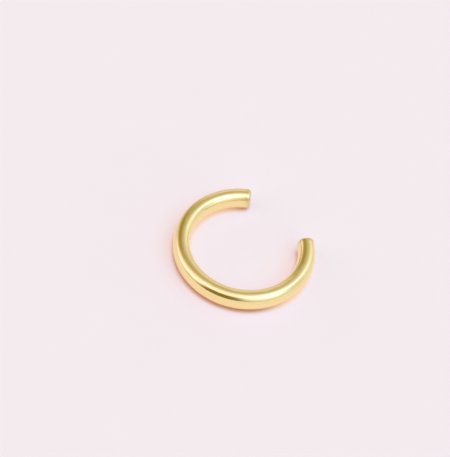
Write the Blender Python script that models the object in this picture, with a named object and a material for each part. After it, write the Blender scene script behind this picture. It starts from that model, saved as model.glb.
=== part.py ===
"""Ear cuff: one length of oval gold wire bent into an open C, lying on its side.

The wire's section is a soft upright oval, a little taller than it is wide, and it stands the same way
all round the loop, which is round. Both ends are cut square and their rims are rounded over.

Frame: the origin is the middle of the footprint on the surface that the cuff lies on, +Y runs out
through the middle of the opening, +X across it, and +Z up.
"""

import math

import bmesh
import bpy
from mathutils import Vector

# Driving dimensions, in metres
LOOP_OUTSIDE = 0.0120  # diameter of the loop, over the wire
WIRE_WIDTH = 0.00144  # thickness of the wire, from the inside of the loop to the outside
WIRE_HEIGHT = 0.00178  # height of the wire, from the surface that it lies on
OPENING = 0.00630  # straight distance between the middles of the two cut ends
END_EASE = 0.00027  # radius that the rims of the cut ends are rounded to

# Section shape: 2 gives a true ellipse, and more gives flatter sides and fuller corners
SECTION_FULLNESS = 2.4

# Fineness of the facets
SECTION_SIDES = 24
LOOP_STEPS = 90
EASE_STEPS = 4

# Edges sharper than this stay crisp in shading
SMOOTH_ANGLE = math.radians(40.0)

# Yellow gold plating
GOLD_COLOUR = (0.86, 0.60, 0.22, 1.0)
GOLD_ROUGHNESS = 0.16


def clear_scene():
    """Remove every object, so that the model starts from nothing."""
    for scene_object in list(bpy.data.objects):
        bpy.data.objects.remove(scene_object, do_unlink=True)


def new_collection(name):
    """Make a collection and link it to the scene."""
    collection = bpy.data.collections.new(name)
    bpy.context.scene.collection.children.link(collection)
    return collection


def gold_material():
    """Polished yellow gold plating."""
    material = bpy.data.materials.new("polished_gold")
    material.use_nodes = True
    shader = material.node_tree.nodes["Principled BSDF"]
    shader.inputs["Base Color"].default_value = GOLD_COLOUR
    shader.inputs["Metallic"].default_value = 1.0
    shader.inputs["Roughness"].default_value = GOLD_ROUGHNESS
    return material


def signed_power(value, exponent):
    """Raise the size of a value to a power and keep its sign."""
    return math.copysign(abs(value) ** exponent, value)


def section_points():
    """Corners of the wire's oval section, whose topmost and lowest sides are level, as stations.

    A side and not a corner lies at the top, the bottom, the inside and the outside, so the section
    measures its full width and height there, and the cuff rests on a narrow flat.
    """
    half_step = math.pi / SECTION_SIDES
    power = 2.0 / SECTION_FULLNESS
    reach = math.cos(half_step) ** power
    points = []
    for side in range(SECTION_SIDES):
        angle = (2 * side + 1) * half_step
        across = WIRE_WIDTH / 2 * signed_power(math.cos(angle), power) / reach
        upward = WIRE_HEIGHT / 2 * signed_power(math.sin(angle), power) / reach
        points.append((across, upward, 0.0, 1.0))
    return points


def loop_stations():
    """Places along the middle of the wire, from one cut end round to the other.

    Each is (x, y, z, share of the full section). The share falls below 1 only in the last stretch at
    each end, where it follows a quarter circle, so that the rim of the cut face is rounded over.
    """
    bend_radius = (LOOP_OUTSIDE - WIRE_WIDTH) / 2
    end_angle = math.asin(OPENING / 2 / bend_radius)
    ease_angle = END_EASE / bend_radius

    first_end = []
    for step in range(EASE_STEPS):
        turn = math.pi / 2 * step / EASE_STEPS
        inset = END_EASE * (1 - math.sin(turn))
        angle = end_angle + ease_angle * (1 - math.cos(turn))
        first_end.append((angle, 1 - inset / (WIRE_WIDTH / 2)))
    full_start = end_angle + ease_angle
    full_sweep = 2 * math.pi - 2 * full_start
    full = [(full_start + full_sweep * step / LOOP_STEPS, 1.0) for step in range(LOOP_STEPS + 1)]
    second_end = [(2 * math.pi - angle, share) for angle, share in reversed(first_end)]

    stations = []
    for angle, share in first_end + full + second_end:
        stations.append((bend_radius * math.sin(angle), bend_radius * math.cos(angle), 0.0, share))
    return stations


def poly_curve(name, stations, closed):
    """Make a curve object with straight stretches through stations of (x, y, z, section share)."""
    curve = bpy.data.curves.new(name, "CURVE")
    curve.dimensions = "3D"
    spline = curve.splines.new("POLY")
    spline.points.add(len(stations) - 1)
    for point, (x, y, z, share) in zip(spline.points, stations):
        point.co = (x, y, z, 1.0)
        point.radius = share
    spline.use_cyclic_u = closed
    return bpy.data.objects.new(name, curve)


def build_band(cuff_collection, guide_collection):
    """Sweep the section round the loop and close its two ends."""
    section = poly_curve("wire_section", section_points(), True)
    section.hide_render = True
    section.display_type = "WIRE"
    guide_collection.objects.link(section)

    route = poly_curve("wire_route", loop_stations(), False)
    route.data.twist_mode = "Z_UP"
    route.data.bevel_mode = "OBJECT"
    route.data.bevel_object = section
    route.data.use_fill_caps = True
    guide_collection.objects.link(route)

    depsgraph = bpy.context.evaluated_depsgraph_get()
    mesh = bpy.data.meshes.new_from_object(route.evaluated_get(depsgraph))
    mesh.name = "ear_cuff_band"
    bpy.data.objects.remove(route, do_unlink=True)

    edit = bmesh.new()
    edit.from_mesh(mesh)
    bmesh.ops.remove_doubles(edit, verts=edit.verts, dist=WIRE_WIDTH / 10000)
    bmesh.ops.recalc_face_normals(edit, faces=edit.faces)
    edit.to_mesh(mesh)
    edit.free()
    mesh.shade_smooth()
    mesh.set_sharp_from_angle(angle=SMOOTH_ANGLE)

    band = bpy.data.objects.new("ear_cuff_band", mesh)
    band.data.materials.append(gold_material())
    cuff_collection.objects.link(band)
    return band


def set_on_frame(band):
    """Put the middle of the finished band's footprint on the origin."""
    corners = [vertex.co for vertex in band.data.vertices]
    lowest = Vector(min(corner[axis] for corner in corners) for axis in range(3))
    highest = Vector(max(corner[axis] for corner in corners) for axis in range(3))
    middle = (lowest + highest) / 2
    band.location = (-middle.x, -middle.y, -lowest.z)


def main():
    """Build the ear cuff."""
    clear_scene()
    cuff_collection = new_collection("ear_cuff")
    guide_collection = new_collection("guides")
    band = build_band(cuff_collection, guide_collection)
    set_on_frame(band)


main()
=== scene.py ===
"""Looks of an open gold ear cuff that lies on its side on pale paper, in the soft light of a room.

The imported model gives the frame: metres, +Z up, the cuff's opening towards +Y. The band is modelled
again here as one smooth bent wire in the place of the faceted one, and gets its plated finish.
"""

import logging
import math
from dataclasses import dataclass, field
from enum import Enum
from typing import Any

import bmesh
import bpy
from mathutils import Matrix, Vector


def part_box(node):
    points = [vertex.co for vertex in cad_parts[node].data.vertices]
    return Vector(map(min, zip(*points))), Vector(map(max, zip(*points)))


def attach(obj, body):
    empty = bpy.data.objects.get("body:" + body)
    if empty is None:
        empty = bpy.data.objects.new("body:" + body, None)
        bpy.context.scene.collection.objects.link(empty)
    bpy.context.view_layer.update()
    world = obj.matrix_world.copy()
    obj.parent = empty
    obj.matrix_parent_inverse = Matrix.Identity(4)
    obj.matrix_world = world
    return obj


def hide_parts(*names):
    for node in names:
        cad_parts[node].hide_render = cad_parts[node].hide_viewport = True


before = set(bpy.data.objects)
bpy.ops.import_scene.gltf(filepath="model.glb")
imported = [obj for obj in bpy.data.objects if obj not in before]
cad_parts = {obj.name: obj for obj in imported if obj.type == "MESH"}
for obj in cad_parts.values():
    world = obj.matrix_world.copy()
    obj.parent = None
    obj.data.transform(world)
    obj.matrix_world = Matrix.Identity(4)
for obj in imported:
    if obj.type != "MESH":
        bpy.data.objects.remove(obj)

LOG = logging.getLogger("ear_cuff")
MILLIMETRE = 0.001

UNBENT_ATTRIBUTE = "place_on_straight_wire"
RIM_ATTRIBUTE = "nearness_to_rims"

# The Mix node repeats its socket names for each kind of value, so its sockets go by number
NUMBER_A, NUMBER_B, NUMBER_MIX = 2, 3, 0
COLOUR_A, COLOUR_B, COLOUR_MIX = 6, 7, 2


class Tint(Enum):
    """Colours of the surfaces and lights, as sRGB hex values."""

    GOLD = "FFEDAE"
    GOLD_DEEP = "FEE9A6"
    GOLD_WORN = "E6D3A2"
    PAPER = "DFE8DE"
    PAPER_SHADE = "DCE6DB"
    # Painted contact shadow: a dark, warm colour of the paper where the metal touches it.
    PAPER_PAINTED_CONTACT_SHADE = "C89C6A"
    # The paper's painted glow, which lightens the shadows: even, stronger near the cuff, darker at the
    # band's foot as painted shade, and paler there as painted light where the foot faces the window.
    SHEET_LIGHT = "866161"
    SHEET_LIGHT_PAINTED_NEAR_CUFF = "B18BAD"
    SHEET_LIGHT_PAINTED_CONTACT_SHADE = "6C4F34"
    SHEET_LIGHT_PAINTED_LIT_FOOT = "BDAA94"
    ROOM = "FFF8F6"
    WINDOW = "CADFFF"
    WINDOW_MIDDLE = "BBD4FF"
    CURTAIN = "FFE9FA"
    CURTAIN_GAP = "F4FF9B"
    SHELF = "FFEA80"
    FAR_WALL = "FFF8FE"
    RIGHT_WALL = "FFF9F4"
    NEAR_SIDE = "FFE590"
    TABLE_FRONT = "FFDC62"


def linear(tint: Tint) -> tuple[float, float, float, float]:
    """Turn an sRGB hex colour into linear light.

    Args:
        tint: The named colour.

    Returns:
        Red, green, blue and an alpha of 1, linear.
    """
    channels = [int(tint.value[start:start + 2], 16) / 255 for start in (0, 2, 4)]
    lit = [c / 12.92 if c <= 0.04045 else ((c + 0.055) / 1.055) ** 2.4 for c in channels]
    return (lit[0], lit[1], lit[2], 1.0)


def pattern_scale(spacing_mm: float) -> float:
    """Work out a texture's scale from the real spacing of its marks, in millimetres."""
    return 1 / (spacing_mm * MILLIMETRE)


def add_node(tree: bpy.types.NodeTree, kind: str, settings: dict[str, Any] | None = None,
             inputs: dict[Any, Any] | None = None) -> bpy.types.Node:
    """Add one shader node, with its settings, its input values and the links into it.

    Args:
        tree: The node tree that gets the node.
        kind: The node's Blender type name.
        settings: Attributes of the node, by name.
        inputs: What each input gets, by name or number: an output socket is linked, and
            anything else is set as its value.

    Returns:
        The new node.
    """
    node = tree.nodes.new(kind)
    for name, value in (settings or {}).items():
        setattr(node, name, value)
    for key, value in (inputs or {}).items():
        if isinstance(value, bpy.types.NodeSocket):
            tree.links.new(value, node.inputs[key])
        else:
            node.inputs[key].default_value = value
    return node


@dataclass(frozen=True)
class PlatedGold:
    """Brass wire, drawn, bent, plated with a few micrometres of yellow gold and then polished.

    To the eye it is a warm mirror: the colour is all in the reflection, the faint lines of the
    drawn wire run along it, and handling has left hairlines in every direction. The rims of the cut
    ends rub the most, so the plating is duller and greyer there. Real draw lines lie about 0.02 mm
    apart and are drawn six times coarser, so that they show. Real hairlines are 0.01 mm wide and are
    drawn four times as wide.

    Each pair of values named cut says between which values of its noise a mark fades in.
    """

    name: str = "plated_gold"
    roughness: float = 0.11
    roughness_spread: float = 0.05
    draw_line_spacing_mm: float = 0.12
    draw_line_length_mm: float = 3.0
    draw_line_depth_mm: float = 0.002
    draw_line_cut: tuple[float, float] = (0.3, 0.7)
    hairline_spacing_mm: float = 0.5
    hairline_width_mm: float = 0.04
    hairline_depth_mm: float = 0.002
    hairline_strength: float = 0.5
    hairline_roughness: float = 0.16
    patch_spacing_mm: float = 1.1
    patch_cut: tuple[float, float] = (0.5, 0.7)
    ripple_spacing_mm: float = 1.6
    ripple_height_mm: float = 0.035
    tone_spacing_mm: float = 2.4
    rim_wear_spacing_mm: float = 0.25
    rim_wear_cut: tuple[float, float] = (0.3, 0.6)
    least_rim_wear: float = 0.25
    rim_roughness: float = 0.06

    def make(self) -> bpy.types.Material:
        """Make the gold material.

        Returns:
            The finished material.
        """
        material = bpy.data.materials.new(self.name)
        material.use_nodes = True
        tree = material.node_tree
        tree.nodes.clear()
        wire = add_node(tree, "ShaderNodeAttribute", {"attribute_name": UNBENT_ATTRIBUTE})
        along = wire.outputs["Vector"]
        lines = self._draw_lines(tree, along)
        scratches = self._hairlines(tree, along)
        wear = self._rim_wear(tree, along)
        shader = add_node(tree, "ShaderNodeBsdfPrincipled", {}, {
            "Base Color": self._colour(tree, along, wear),
            "Metallic": 1.0,
            "Roughness": self._dullness(tree, lines, scratches, wear),
            "Normal": self._relief(tree, along, lines, scratches)})
        add_node(tree, "ShaderNodeOutputMaterial", {}, {"Surface": shader.outputs["BSDF"]})
        return material

    def _draw_lines(self, tree: bpy.types.NodeTree, along: bpy.types.NodeSocket) -> bpy.types.NodeSocket:
        """Add the lines left by the drawing plate, long along the wire and fine across it.

        Args:
            tree: The material's node tree.
            along: The place on the straight wire.

        Returns:
            The height of the lines, from 0 to 1.
        """
        stretch = self.draw_line_spacing_mm / self.draw_line_length_mm
        drawn = add_node(tree, "ShaderNodeMapping", {}, {"Vector": along, "Scale": (stretch, 1.0, 1.0)})
        return add_node(tree, "ShaderNodeTexNoise", {}, {
            "Vector": drawn.outputs["Vector"], "Scale": pattern_scale(self.draw_line_spacing_mm),
            "Detail": 2.0}).outputs["Fac"]

    def _hairlines(self, tree: bpy.types.NodeTree, along: bpy.types.NodeSocket) -> bpy.types.NodeSocket:
        """Add hairlines from handling, a web of thin scratches that shows in worn patches.

        Args:
            tree: The material's node tree.
            along: The place on the straight wire.

        Returns:
            How scratched the surface is, from 0 to 1.
        """
        web = add_node(tree, "ShaderNodeTexVoronoi", {"feature": "DISTANCE_TO_EDGE"}, {
            "Vector": along, "Scale": pattern_scale(self.hairline_spacing_mm)})
        hairline = add_node(tree, "ShaderNodeMapRange", {"interpolation_type": "SMOOTHSTEP"}, {
            "Value": web.outputs["Distance"],
            "From Min": 0.0, "From Max": self.hairline_width_mm / self.hairline_spacing_mm,
            "To Min": 1.0, "To Max": 0.0})
        patches = add_node(tree, "ShaderNodeTexNoise", {}, {
            "Vector": along, "Scale": pattern_scale(self.patch_spacing_mm), "Detail": 3.0})
        worn = add_node(tree, "ShaderNodeMapRange", {}, {
            "Value": patches.outputs["Fac"], "From Min": self.patch_cut[0], "From Max": self.patch_cut[1],
            "To Min": 0.0, "To Max": 1.0})
        return add_node(tree, "ShaderNodeMath", {"operation": "MULTIPLY"}, {
            0: hairline.outputs["Result"], 1: worn.outputs["Result"]}).outputs["Value"]

    def _rim_wear(self, tree: bpy.types.NodeTree, along: bpy.types.NodeSocket) -> bpy.types.NodeSocket:
        """Add the wear of the cut ends' rims, broken up so that they look rubbed and not painted.

        Args:
            tree: The material's node tree.
            along: The place on the straight wire.

        Returns:
            How worn the plating is, from 0 to 1.
        """
        rims = add_node(tree, "ShaderNodeAttribute", {"attribute_name": RIM_ATTRIBUTE})
        rubs = add_node(tree, "ShaderNodeTexNoise", {}, {
            "Vector": along, "Scale": pattern_scale(self.rim_wear_spacing_mm), "Detail": 3.0})
        uneven = add_node(tree, "ShaderNodeMapRange", {}, {
            "Value": rubs.outputs["Fac"],
            "From Min": self.rim_wear_cut[0], "From Max": self.rim_wear_cut[1],
            "To Min": self.least_rim_wear, "To Max": 1.0})
        return add_node(tree, "ShaderNodeMath", {"operation": "MULTIPLY"}, {
            0: rims.outputs["Fac"], 1: uneven.outputs["Result"]}).outputs["Value"]

    def _colour(self, tree: bpy.types.NodeTree, along: bpy.types.NodeSocket,
                wear: bpy.types.NodeSocket) -> bpy.types.NodeSocket:
        """Add the colour, which shifts slowly with the plating's thickness and greys where it is worn.

        Args:
            tree: The material's node tree.
            along: The place on the straight wire.
            wear: How worn the plating is.

        Returns:
            The colour.
        """
        tone = add_node(tree, "ShaderNodeTexNoise", {}, {
            "Vector": along, "Scale": pattern_scale(self.tone_spacing_mm), "Detail": 2.0})
        plated = add_node(tree, "ShaderNodeMix", {"data_type": "RGBA"}, {
            "Factor": tone.outputs["Fac"], COLOUR_A: linear(Tint.GOLD), COLOUR_B: linear(Tint.GOLD_DEEP)})
        return add_node(tree, "ShaderNodeMix", {"data_type": "RGBA"}, {
            "Factor": wear, COLOUR_A: plated.outputs[COLOUR_MIX],
            COLOUR_B: linear(Tint.GOLD_WORN)}).outputs[COLOUR_MIX]

    def _dullness(self, tree: bpy.types.NodeTree, lines: bpy.types.NodeSocket,
                  scratches: bpy.types.NodeSocket, wear: bpy.types.NodeSocket) -> bpy.types.NodeSocket:
        """Add up the roughness of the polish, the draw lines, the hairlines and the worn rims.

        Args:
            tree: The material's node tree.
            lines: The draw lines.
            scratches: How scratched the surface is.
            wear: How worn the plating is.

        Returns:
            The roughness.
        """
        gloss = add_node(tree, "ShaderNodeMapRange", {}, {
            "Value": lines, "From Min": self.draw_line_cut[0], "From Max": self.draw_line_cut[1],
            "To Min": self.roughness, "To Max": self.roughness + self.roughness_spread})
        marked = add_node(tree, "ShaderNodeMath", {"operation": "MULTIPLY_ADD"}, {
            0: scratches, 1: self.hairline_roughness, 2: gloss.outputs["Result"]})
        return add_node(tree, "ShaderNodeMath", {"operation": "MULTIPLY_ADD"}, {
            0: wear, 1: self.rim_roughness, 2: marked.outputs["Value"]}).outputs["Value"]

    def _relief(self, tree: bpy.types.NodeTree, along: bpy.types.NodeSocket, lines: bpy.types.NodeSocket,
                scratches: bpy.types.NodeSocket) -> bpy.types.NodeSocket:
        """Add the slow ripple of a wire bent and polished by hand, with the fine marks on top of it.

        Args:
            tree: The material's node tree.
            along: The place on the straight wire.
            lines: The draw lines.
            scratches: How scratched the surface is.

        Returns:
            The surface's direction.
        """
        ripple = add_node(tree, "ShaderNodeTexNoise", {}, {
            "Vector": along, "Scale": pattern_scale(self.ripple_spacing_mm), "Detail": 1.0})
        swell = add_node(tree, "ShaderNodeBump", {}, {
            "Strength": 1.0, "Distance": self.ripple_height_mm * MILLIMETRE,
            "Height": ripple.outputs["Fac"]})
        drawn = add_node(tree, "ShaderNodeBump", {}, {
            "Strength": 1.0, "Distance": self.draw_line_depth_mm * MILLIMETRE, "Height": lines,
            "Normal": swell.outputs["Normal"]})
        return add_node(tree, "ShaderNodeBump", {"invert": True}, {
            "Strength": self.hairline_strength, "Distance": self.hairline_depth_mm * MILLIMETRE,
            "Height": scratches, "Normal": drawn.outputs["Normal"]}).outputs["Normal"]


@dataclass
class CuffBand:
    """The bent wire, one smooth solid, in the place of the frame's faceted band."""

    node: str = "ear_cuff_band"
    piece_name: str = "ear_cuff_band_polished"
    loop_outside: float = 12.00 * MILLIMETRE
    wire_width: float = 1.44 * MILLIMETRE
    wire_height: float = 1.78 * MILLIMETRE
    opening: float = 6.30 * MILLIMETRE
    end_ease: float = 0.27 * MILLIMETRE
    section_fullness: float = 2.4
    section_corners: int = 4
    corner_segments: int = 18
    loop_steps: int = 160
    ease_steps: int = 6
    cap_margin: float = 0.03 * MILLIMETRE
    rim_wear_reach: float = 0.28 * MILLIMETRE
    merge_distance: float = 0.0001 * MILLIMETRE
    bend_radius: float = field(init=False)
    middle: Vector = field(init=False)
    half_gap: float = field(init=False)
    ease_angle: float = field(init=False)
    start_angle: float = field(init=False)
    sweep: float = field(init=False)

    def __post_init__(self) -> None:
        """Work out the middle of the loop and the angles of its ends from the frame."""
        lowest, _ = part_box(self.node)
        self.bend_radius = (self.loop_outside - self.wire_width) / 2
        self.middle = Vector((0.0, lowest.y + self.loop_outside / 2, lowest.z + self.wire_height / 2))
        self.half_gap = math.asin(self.opening / 2 / self.bend_radius)
        self.ease_angle = self.end_ease / self.bend_radius
        self.start_angle = math.pi / 2 - self.half_gap - self.ease_angle
        self.sweep = 2 * math.pi - 2 * (self.half_gap + self.ease_angle)

    def model(self) -> bpy.types.Object:
        """Model the band.

        Returns:
            The finished mesh object, which stands for the frame's band.
        """
        piece = self._add_section()
        self._sweep_section()
        for is_start in (True, False):
            self._ease_end(is_start)
        self._finish_mesh(piece)
        self._mark_straight_wire(piece)
        self._mark_rims(piece)
        return piece

    def dress(self, piece: bpy.types.Object, finish: PlatedGold) -> None:
        """Give the band its finish and tie it to the frame.

        Args:
            piece: The modelled band.
            finish: The plated gold that covers it.
        """
        piece.data.materials.clear()
        piece.data.materials.append(finish.make())
        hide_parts(self.node)
        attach(piece, "root")

    def _add_section(self) -> bpy.types.Object:
        """Add the wire's cut face at the start of the sweep and leave it open for editing.

        It starts as a flat upright plate of the wire's width and height. Each corner is bevelled by
        half of both its edges, so that the four bevels meet. Their profile would make an ellipse at
        0.5, and the fuller section's power makes it higher.

        Returns:
            The object that holds the face.
        """
        bpy.ops.object.select_all(action="DESELECT")
        outward = Vector((math.cos(self.start_angle), math.sin(self.start_angle), 0.0))
        bpy.ops.mesh.primitive_plane_add(
            size=1.0, location=self.middle + outward * self.bend_radius,
            rotation=(math.pi / 2, 0.0, self.start_angle))
        piece = bpy.context.active_object
        piece.name = self.piece_name
        piece.data.name = self.piece_name
        piece.scale = (self.wire_width, self.wire_height, 1.0)
        bpy.ops.object.transform_apply(location=True, rotation=True, scale=True)
        bpy.ops.object.mode_set(mode="EDIT")
        bpy.ops.mesh.select_all(action="SELECT")
        bpy.ops.mesh.bevel(
            affect="VERTICES", offset_type="PERCENT", offset_pct=50.0,
            segments=self.corner_segments, profile=0.5 ** (2.0 / self.section_fullness))
        bpy.ops.mesh.select_all(action="SELECT")
        bpy.ops.mesh.remove_doubles(threshold=self.merge_distance)
        return piece

    def _sweep_section(self) -> None:
        """Spin the face round the loop, from one end to the other."""
        bpy.ops.mesh.spin(steps=self.loop_steps, angle=self.sweep, center=self.middle, axis=(0.0, 0.0, 1.0))

    def _ease_end(self, is_start: bool) -> None:
        """Round the rim of one cut end by drawing its face out in rings that follow a quarter circle.

        Args:
            is_start: Whether this is the end at the start of the sweep.
        """
        side = 1.0 if is_start else -1.0
        angle = self.half_gap + self.ease_angle
        centre = self.middle + Vector((side * math.sin(angle), math.cos(angle), 0.0)) * self.bend_radius
        outward = Vector((-side * math.cos(angle), math.sin(angle), 0.0))
        self._select_cap(centre)
        reach, share = 0.0, 1.0
        for step in range(1, self.ease_steps + 1):
            turn = math.pi / 2 * step / self.ease_steps
            next_reach = self.end_ease * math.sin(turn)
            next_share = 1 - self.end_ease * (1 - math.cos(turn)) / (self.wire_width / 2)
            bpy.ops.mesh.extrude_region_move(
                TRANSFORM_OT_translate={"value": outward * (next_reach - reach)})
            scale = next_share / share
            bpy.ops.transform.resize(
                value=(scale, scale, scale), center_override=centre + outward * next_reach)
            reach, share = next_reach, next_share
        bpy.ops.mesh.inset(thickness=self.cap_margin, depth=0.0)
        bpy.ops.mesh.poke()

    def _select_cap(self, centre: Vector) -> None:
        """Select only the flat face that closes the wire at one end.

        Args:
            centre: The middle of that face.
        """
        bpy.ops.mesh.select_all(action="DESELECT")
        bpy.ops.mesh.select_mode(type="FACE")
        edit = bmesh.from_edit_mesh(bpy.context.active_object.data)
        for face in edit.faces:
            is_cap = len(face.verts) == self.section_corners * self.corner_segments
            is_here = (face.calc_center_median() - centre).length < self.wire_width / 2
            face.select_set(is_cap and is_here)
        edit.select_flush_mode()
        bmesh.update_edit_mesh(bpy.context.active_object.data)

    def _finish_mesh(self, piece: bpy.types.Object) -> None:
        """Close the mesh, turn its faces outwards and shade it smooth.

        Args:
            piece: The object under edit.
        """
        bpy.ops.mesh.select_all(action="SELECT")
        bpy.ops.mesh.remove_doubles(threshold=self.merge_distance)
        bpy.ops.mesh.normals_make_consistent(inside=False)
        bpy.ops.object.mode_set(mode="OBJECT")
        bpy.ops.object.select_all(action="DESELECT")
        piece.select_set(True)
        bpy.context.view_layer.objects.active = piece
        bpy.ops.object.shade_smooth()

    def _mark_straight_wire(self, piece: bpy.types.Object) -> None:
        """Store where each point lay on the wire while it was straight, for patterns that follow it.

        Args:
            piece: The finished band.
        """
        attribute = piece.data.attributes.new(UNBENT_ATTRIBUTE, "FLOAT_VECTOR", "POINT")
        for vertex, mark in zip(piece.data.vertices, attribute.data):
            arm = vertex.co - self.middle
            turned = math.atan2(arm.x, -arm.y)
            outward = math.hypot(arm.x, arm.y) - self.bend_radius
            mark.vector = (turned * self.bend_radius, outward, arm.z)

    def _mark_rims(self, piece: bpy.types.Object) -> None:
        """Store how near each point lies to the rounded rims of the cut ends, from 0 to 1 on them.

        Args:
            piece: The band, with its places on the straight wire.
        """
        attribute = piece.data.attributes.new(RIM_ATTRIBUTE, "FLOAT", "POINT")
        rim_start = (math.pi - self.half_gap - self.ease_angle) * self.bend_radius
        flat_share = 1 - self.end_ease / (self.wire_width / 2)
        power = self.section_fullness
        for place, mark in zip(piece.data.attributes[UNBENT_ATTRIBUTE].data, attribute.data):
            along, outward, upward = place.vector
            across_share = abs(outward) / (self.wire_width / 2)
            upward_share = abs(upward) / (self.wire_height / 2)
            share = (across_share ** power + upward_share ** power) ** (1 / power)
            apart = max(0.0, rim_start - abs(along)) + max(0.0, flat_share - share) * self.wire_width / 2
            mark.value = max(0.0, 1 - apart / self.rim_wear_reach)


@dataclass(frozen=True)
class UncoatedPaper:
    """Smooth uncoated card in pale pink: matte, with a hardly visible cloudiness of its fibres.

    Light that enters the sheet spreads in it and comes up again all over it, tinted pink. A faint
    glow painted into the sheet stands for that light: this painted light fills the wide shadow round
    the cuff, more strongly close to it, and leaves only the narrow one where the metal touches the
    sheet. That narrow shadow is deepened by painted shade, a darker, warmer colour and glow of the
    sheet, and the painted glow there is paler where the foot of the band faces the window: outside
    the loop on the window's side, and inside it on the far side.

    The two foot_lit pairs say from where to where that paler painted light comes in, as shares of the
    bend's radius, counted from the loop's middle towards the window outside it, and away from the
    window inside it. contact_cut says between which shares of open surroundings the painted narrow
    shadow fades out.
    """

    name: str = "uncoated_paper"
    roughness: float = 0.85
    specular_level: float = 0.2
    cloud_spacing_mm: float = 6.0
    shelter_samples: int = 8
    shelter_reach_mm: float = 5.0
    contact_reach_mm: float = 0.6
    contact_cut: tuple[float, float] = (0.25, 0.82)
    inside_blend_mm: float = 0.3
    outer_foot_lit: tuple[float, float] = (0.3, 0.95)
    inner_foot_lit: tuple[float, float] = (0.0, 0.6)

    def make(self, band: CuffBand, window_side: Vector) -> bpy.types.Material:
        """Make the paper material.

        Args:
            band: The band that lies on the paper, for where the inside of its loop is.
            window_side: The level direction in which the window lies.

        Returns:
            The finished material.
        """
        material = bpy.data.materials.new(self.name)
        material.use_nodes = True
        tree = material.node_tree
        tree.nodes.clear()
        place = add_node(tree, "ShaderNodeTexCoord").outputs["Object"]
        # Ambient occlusion of the nearby metal masks the painted contact shadow in the colour and in the
        # glow.
        near = add_node(tree, "ShaderNodeAmbientOcclusion", {"samples": self.shelter_samples}, {
            "Distance": self.contact_reach_mm * MILLIMETRE})
        clear = add_node(tree, "ShaderNodeMapRange", {"interpolation_type": "SMOOTHSTEP"}, {
            "Value": near.outputs["AO"], "From Min": self.contact_cut[0], "From Max": self.contact_cut[1],
            "To Min": 0.0, "To Max": 1.0}).outputs["Result"]
        # How far the foot faces the window sets where the painted shade at the foot turns into painted
        # light.
        foot_lit = self._foot_lit(tree, place, band, window_side)
        # The emission is the sheet's painted glow.
        shader = add_node(tree, "ShaderNodeBsdfPrincipled", {}, {
            "Base Color": self._colour(tree, place, clear), "Roughness": self.roughness,
            "Specular IOR Level": self.specular_level,
            "Emission Color": self._painted_glow(tree, clear, foot_lit), "Emission Strength": 1.0})
        add_node(tree, "ShaderNodeOutputMaterial", {}, {"Surface": shader.outputs["BSDF"]})
        return material

    def _colour(self, tree: bpy.types.NodeTree, place: bpy.types.NodeSocket,
                clear: bpy.types.NodeSocket) -> bpy.types.NodeSocket:
        """Add the sheet's colour, slightly cloudy, with painted shade, dark and warm, where the metal
        touches it.

        Args:
            tree: The material's node tree.
            place: The place on the sheet.
            clear: How clear the place is of the metal, from 0 to 1; it masks the painted shade.

        Returns:
            The colour.
        """
        cloud = add_node(tree, "ShaderNodeTexNoise", {}, {
            "Vector": place, "Scale": pattern_scale(self.cloud_spacing_mm), "Detail": 3.0})
        sheet = add_node(tree, "ShaderNodeMix", {"data_type": "RGBA"}, {
            "Factor": cloud.outputs["Fac"],
            COLOUR_A: linear(Tint.PAPER), COLOUR_B: linear(Tint.PAPER_SHADE)})
        # The painted contact shadow takes the place of the sheet's colour where the metal is near.
        return add_node(tree, "ShaderNodeMix", {"data_type": "RGBA"}, {
            "Factor": clear, COLOUR_A: linear(Tint.PAPER_PAINTED_CONTACT_SHADE),
            COLOUR_B: sheet.outputs[COLOUR_MIX]}).outputs[COLOUR_MIX]

    def _foot_lit(self, tree: bpy.types.NodeTree, place: bpy.types.NodeSocket, band: CuffBand,
                  window_side: Vector) -> bpy.types.NodeSocket:
        """Find how far the foot of the band faces the window, which sets the painted light at the foot.

        Args:
            tree: The material's node tree.
            place: The place on the sheet.
            band: The band that lies on it.
            window_side: The level direction in which the window lies.

        Returns:
            How much painted window light the foot nearest to the place gets, from 0 to 1.
        """
        radius = band.bend_radius
        blend = self.inside_blend_mm * MILLIMETRE
        outward = add_node(tree, "ShaderNodeVectorMath", {"operation": "SUBTRACT"}, {
            0: place, 1: (band.middle.x, band.middle.y, 0.0)}).outputs["Vector"]
        from_middle = add_node(tree, "ShaderNodeVectorMath", {"operation": "LENGTH"}, {0: outward})
        inside = add_node(tree, "ShaderNodeMapRange", {"interpolation_type": "SMOOTHSTEP"}, {
            "Value": from_middle.outputs["Value"], "From Min": radius - blend, "From Max": radius + blend,
            "To Min": 1.0, "To Max": 0.0})
        to_window = add_node(tree, "ShaderNodeVectorMath", {"operation": "DOT_PRODUCT"}, {
            0: outward, 1: window_side}).outputs["Value"]
        outer_lit = add_node(tree, "ShaderNodeMapRange", {"interpolation_type": "SMOOTHSTEP"}, {
            "Value": to_window,
            "From Min": radius * self.outer_foot_lit[0], "From Max": radius * self.outer_foot_lit[1],
            "To Min": 0.0, "To Max": 1.0})
        inner_lit = add_node(tree, "ShaderNodeMapRange", {"interpolation_type": "SMOOTHSTEP"}, {
            "Value": to_window,
            "From Min": -radius * self.inner_foot_lit[0], "From Max": -radius * self.inner_foot_lit[1],
            "To Min": 0.0, "To Max": 1.0})
        return add_node(tree, "ShaderNodeMix", {"data_type": "FLOAT"}, {
            "Factor": inside.outputs["Result"], NUMBER_A: outer_lit.outputs["Result"],
            NUMBER_B: inner_lit.outputs["Result"]}).outputs[NUMBER_MIX]

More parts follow.
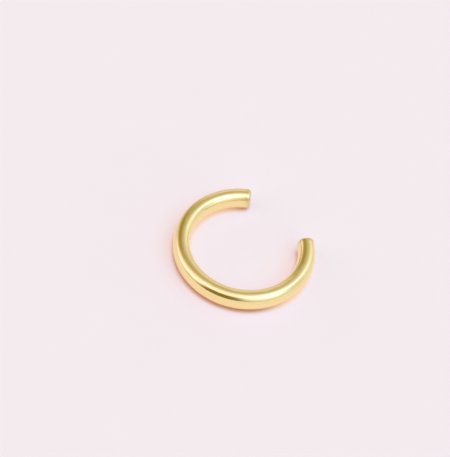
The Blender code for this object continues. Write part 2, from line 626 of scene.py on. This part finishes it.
    def _painted_glow(self, tree: bpy.types.NodeTree, clear: bpy.types.NodeSocket,
                   foot_lit: bpy.types.NodeSocket) -> bpy.types.NodeSocket:
        """Add the sheet's painted glow: painted light that fills the shadow round the cuff, and painted
        shade at the foot of the band.

        Args:
            tree: The material's node tree.
            clear: How clear the place is of the metal, from 0 to 1; it masks the painted shade at the foot.
            foot_lit: How much painted window light the foot of the band there gets, from 0 to 1.

        Returns:
            The colour of that painted glow.
        """
        # Wide ambient occlusion makes the painted glow stronger near the cuff.
        wide = add_node(tree, "ShaderNodeAmbientOcclusion", {"samples": self.shelter_samples}, {
            "Distance": self.shelter_reach_mm * MILLIMETRE})
        around = add_node(tree, "ShaderNodeMix", {"data_type": "RGBA"}, {
            "Factor": wide.outputs["AO"],
            COLOUR_A: linear(Tint.SHEET_LIGHT_PAINTED_NEAR_CUFF), COLOUR_B: linear(Tint.SHEET_LIGHT)})
        # At the foot of the band the painted glow turns into painted shade, paler where the foot faces the
        # window.
        at_foot = add_node(tree, "ShaderNodeMix", {"data_type": "RGBA"}, {
            "Factor": foot_lit,
            COLOUR_A: linear(Tint.SHEET_LIGHT_PAINTED_CONTACT_SHADE), COLOUR_B: linear(Tint.SHEET_LIGHT_PAINTED_LIT_FOOT)})
        return add_node(tree, "ShaderNodeMix", {"data_type": "RGBA"}, {
            "Factor": clear, COLOUR_A: at_foot.outputs[COLOUR_MIX],
            COLOUR_B: around.outputs[COLOUR_MIX]}).outputs[COLOUR_MIX]


@dataclass
class PaperFloor:
    """The sheet that the cuff lies on; it is stage and not part of the object."""

    side: float = 3.0
    clearance: float = 0.002 * MILLIMETRE
    rows: int = 4

    def lay(self, finish: UncoatedPaper, band: CuffBand, window_side: Vector) -> bpy.types.Object:
        """Lay the sheet under the cuff.

        Args:
            finish: The paper.
            band: The band that lies on it.
            window_side: The level direction in which the window lies.

        Returns:
            The sheet.
        """
        bpy.ops.object.select_all(action="DESELECT")
        bpy.ops.mesh.primitive_grid_add(
            x_subdivisions=self.rows, y_subdivisions=self.rows, size=self.side,
            location=(0.0, 0.0, -self.clearance))
        sheet = bpy.context.active_object
        sheet.name = "paper_floor"
        sheet.data.materials.append(finish.make(band, window_side))
        return sheet


@dataclass
class PhotoCamera:
    """The camera, placed by the photo's angle to the cuff.

    Bearings and elevations of the lights are counted from this camera too.
    """

    azimuth: float = math.radians(32.75)
    elevation: float = math.radians(53.1)
    roll: float = math.radians(12.0)
    image_width: int = 450
    image_height: int = 457
    loop_middle_px: tuple[float, float] = (242.8, 253.8)
    loop_outside_px: float = 142.2
    distance_px: float = 1400.0
    sensor: float = 36.0
    nearest_seen: float = 1 * MILLIMETRE
    farthest_seen: float = 10.0

    def place(self, band: CuffBand) -> bpy.types.Object:
        """Set the camera up so that the loop stands in the photo's place and at its size.

        Args:
            band: The band, for where its loop lies and how wide it is.

        Returns:
            The camera.
        """
        metres_per_px = band.loop_outside / self.loop_outside_px
        foot = Vector((band.middle.x, band.middle.y, 0.0))
        back = self.toward(math.pi, self.elevation)
        level = Vector((math.cos(self.azimuth), math.sin(self.azimuth), 0.0))
        upright = back.cross(level)
        right = level * math.cos(self.roll) + upright * math.sin(self.roll)
        up = upright * math.cos(self.roll) - level * math.sin(self.roll)

        eye = foot + back * self.distance_px * metres_per_px
        offset_right = self.loop_middle_px[0] - self.image_width / 2
        offset_up = self.image_height / 2 - self.loop_middle_px[1]
        target = foot - (right * offset_right + up * offset_up) * metres_per_px
        back = (eye - target).normalized()
        right = (right - back * right.dot(back)).normalized()
        up = back.cross(right)

        data = bpy.data.cameras.new("photo_camera")
        data.sensor_width = self.sensor
        data.lens = self.distance_px / max(self.image_width, self.image_height) * self.sensor
        data.clip_start = self.nearest_seen
        data.clip_end = self.farthest_seen
        camera = bpy.data.objects.new("photo_camera", data)
        axes = Matrix((right, up, back)).transposed()
        camera.matrix_world = Matrix.Translation(eye) @ axes.to_4x4()
        bpy.context.scene.collection.objects.link(camera)
        bpy.context.scene.camera = camera
        return camera

    def toward(self, bearing: float, elevation: float) -> Vector:
        """Find a direction from the cuff.

        Args:
            bearing: Angle to the right of the direction in which the camera looks, in radians.
            elevation: Angle above the paper, in radians.

        Returns:
            The direction, of length 1.
        """
        angle = self.azimuth + math.pi / 2 - bearing
        return Vector((math.cos(angle) * math.cos(elevation), math.sin(angle) * math.cos(elevation),
                       math.sin(elevation)))


@dataclass(frozen=True)
class Patch:
    """One soft-edged round patch of what surrounds the table, bright or dim.

    Its place is counted from the camera, and it covers what lies behind it: wholly as far as inner_deg
    from its middle, and then less and less out to outer_deg. Where inner_deg is below 0, its middle
    lets some of that through too.
    """

    name: str
    bearing_deg: float
    elevation_deg: float
    inner_deg: float
    outer_deg: float
    tint: Tint
    radiance: float


@dataclass
class Room:
    """The pale room round the table, lit by a window on the right, as the world's light."""

    camera: PhotoCamera
    base_tint: Tint = Tint.ROOM
    base_radiance: float = 0.81
    skirting_height_deg: float = 9.0
    skirting_depth: float = 0.5
    window: Patch = Patch("window", 92.0, 45.0, -19.5, 72.0, Tint.WINDOW, 2.10)
    other_patches: tuple[Patch, ...] = (
        Patch("window_middle", 111.0, 56.0, 1.5, 44.5, Tint.WINDOW_MIDDLE, 2.48),
        Patch("curtain", -86.5, 51.0, 31.0, 58.0, Tint.CURTAIN, 1.48),
        Patch("shelf", -32.0, 43.5, 6.0, 56.0, Tint.SHELF, 0.35),
        Patch("far_wall", 4.0, 22.5, 17.0, 32.0, Tint.FAR_WALL, 0.77),
        Patch("near_side", -163.0, 29.0, 15.5, 33.0, Tint.NEAR_SIDE, 0.24),
        Patch("table_front", -161.0, -5.0, 20.5, 51.0, Tint.TABLE_FRONT, 0.25),
        Patch("gap_in_curtain", -112.0, 5.5, 1.0, 8.0, Tint.CURTAIN_GAP, 0.21),
        Patch("right_wall", 87.0, 26.0, 3.5, 35.0, Tint.RIGHT_WALL, 0.77),
    )

    def window_side(self) -> Vector:
        """Find the level direction in which the window lies."""
        return self.camera.toward(math.radians(self.window.bearing_deg), 0.0)

    def light(self) -> bpy.types.World:
        """Make the world.

        Returns:
            The world, set on the scene.
        """
        world = bpy.data.worlds.new("pale_room")
        world.use_nodes = True
        tree = world.node_tree
        tree.nodes.clear()
        direction = add_node(tree, "ShaderNodeTexCoord").outputs["Generated"]
        colour = self._radiance(self.base_tint, self.base_radiance)
        for patch in (self.window, *self.other_patches):
            colour = self._cover(tree, direction, colour, patch)
            LOG.info("light: %s", patch.name)
        background = add_node(tree, "ShaderNodeBackground", {}, {
            "Color": colour, "Strength": self._skirting(tree, direction)})
        add_node(tree, "ShaderNodeOutputWorld", {}, {"Surface": background.outputs["Background"]})
        bpy.context.scene.world = world
        return world

    def _skirting(self, tree: bpy.types.NodeTree, direction: bpy.types.NodeSocket) -> bpy.types.NodeSocket:
        """Dim the room close to the level of the table.

        Args:
            tree: The world's node tree.
            direction: The direction that is looked up.

        Returns:
            How strongly the room shines in that direction, up to 1.
        """
        height = add_node(tree, "ShaderNodeSeparateXYZ", {}, {"Vector": direction}).outputs["Z"]
        lift = add_node(tree, "ShaderNodeMath", {"operation": "ABSOLUTE"}, {0: height})
        return add_node(tree, "ShaderNodeMapRange", {"interpolation_type": "SMOOTHSTEP"}, {
            "Value": lift.outputs["Value"],
            "From Min": 0.0, "From Max": math.sin(math.radians(self.skirting_height_deg)),
            "To Min": 1.0 - self.skirting_depth, "To Max": 1.0}).outputs["Result"]

    def _radiance(self, tint: Tint, radiance: float) -> tuple[float, float, float, float]:
        """Scale a tint to how bright it is.

        Args:
            tint: The named colour.
            radiance: Brightness of its strongest channel, 1 for a surface that shows as white.

        Returns:
            Linear red, green, blue and an alpha of 1.
        """
        red, green, blue, _ = linear(tint)
        return (red * radiance, green * radiance, blue * radiance, 1.0)

    def _cover(self, tree: bpy.types.NodeTree, direction: bpy.types.NodeSocket, under: Any,
               patch: Patch) -> bpy.types.NodeSocket:
        """Lay one patch over the colour so far.

        Args:
            tree: The world's node tree.
            direction: The direction that is looked up.
            under: The colour so far, as a socket or a value.
            patch: The patch.

        Returns:
            The colour with the patch in it.
        """
        toward = self.camera.toward(math.radians(patch.bearing_deg), math.radians(patch.elevation_deg))
        facing = add_node(tree, "ShaderNodeVectorMath", {"operation": "DOT_PRODUCT"}, {
            0: direction, 1: toward})
        apart = add_node(tree, "ShaderNodeMath", {"operation": "ARCCOSINE"}, {0: facing.outputs["Value"]})
        share = add_node(tree, "ShaderNodeMapRange", {"interpolation_type": "SMOOTHSTEP"}, {
            "Value": apart.outputs["Value"],
            "From Min": math.radians(patch.outer_deg), "From Max": math.radians(patch.inner_deg),
            "To Min": 0.0, "To Max": 1.0})
        return add_node(tree, "ShaderNodeMix", {"data_type": "RGBA"}, {
            "Factor": share.outputs["Result"], COLOUR_A: under,
            COLOUR_B: self._radiance(patch.tint, patch.radiance)}).outputs[COLOUR_MIX]


def main() -> None:
    """Build the dressed cuff and its stage, piece by piece."""
    logging.basicConfig(level=logging.INFO, format="%(name)s: %(message)s")
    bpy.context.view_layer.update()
    LOG.info("frame nodes: %s", ", ".join(sorted(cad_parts)))

    band = CuffBand()
    camera = PhotoCamera()
    camera.place(band)
    LOG.info("camera placed")

    piece = band.model()
    band.dress(piece, PlatedGold())
    LOG.info("band: %d faces", len(piece.data.polygons))

    room = Room(camera)
    PaperFloor().lay(UncoatedPaper(), band, room.window_side())
    LOG.info("paper laid")

    bpy.context.scene.view_settings.view_transform = "Standard"
    room.light()


if __name__ == "__main__":
    main()
